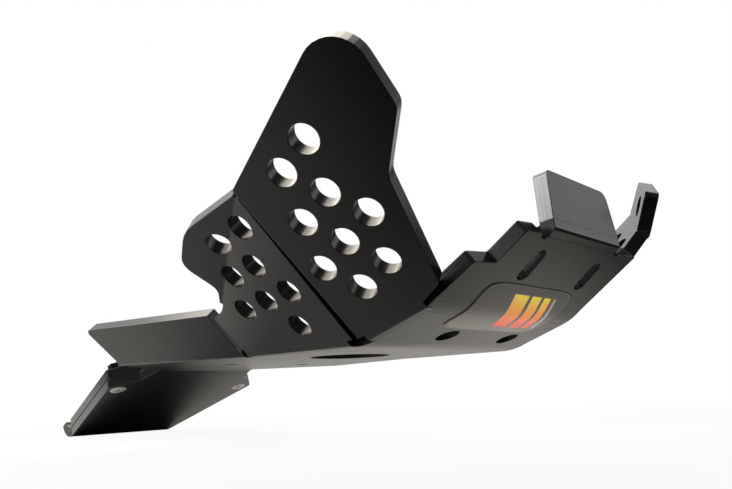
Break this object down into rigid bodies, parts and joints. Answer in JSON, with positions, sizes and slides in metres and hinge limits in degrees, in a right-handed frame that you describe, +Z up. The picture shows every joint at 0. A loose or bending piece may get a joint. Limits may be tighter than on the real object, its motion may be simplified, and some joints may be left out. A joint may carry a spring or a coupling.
{
  "type": "motorcycle skid plate",
  "caption": "Hot-bent black plastic skid plate with side wings, front flap, rear rails and a doubled tail that guards the suspension linkage.",
  "frame": {"origin": "midway between the two belly mounting holes, on the underside of the belly", "axes": "+X towards the front of the motorcycle, +Y to its left, +Z up, belly level"},
  "size_m": [0.5383, 0.3034, 0.1695],
  "materials": {
    "black_sheet": "extruded high-density polyethylene sheet, satin black, routed edges",
    "liner_sheet": "extruded high-density polyethylene sheet, satin black, routed edges",
    "zinc_screws": "bright zinc-plated steel",
    "zinc_washers": "bright zinc-plated steel",
    "zinc_nuts": "bright zinc-plated steel",
    "decal_film": "printed vinyl film with a clear coat"
  },
  "bodies": {
    "root": {"main_plate": "black_sheet", "tail_liner": "liner_sheet", "liner_screws": "zinc_screws", "liner_washers": "zinc_washers", "liner_nuts": "zinc_nuts", "decal": "decal_film"}
  },
  "joints": []
}
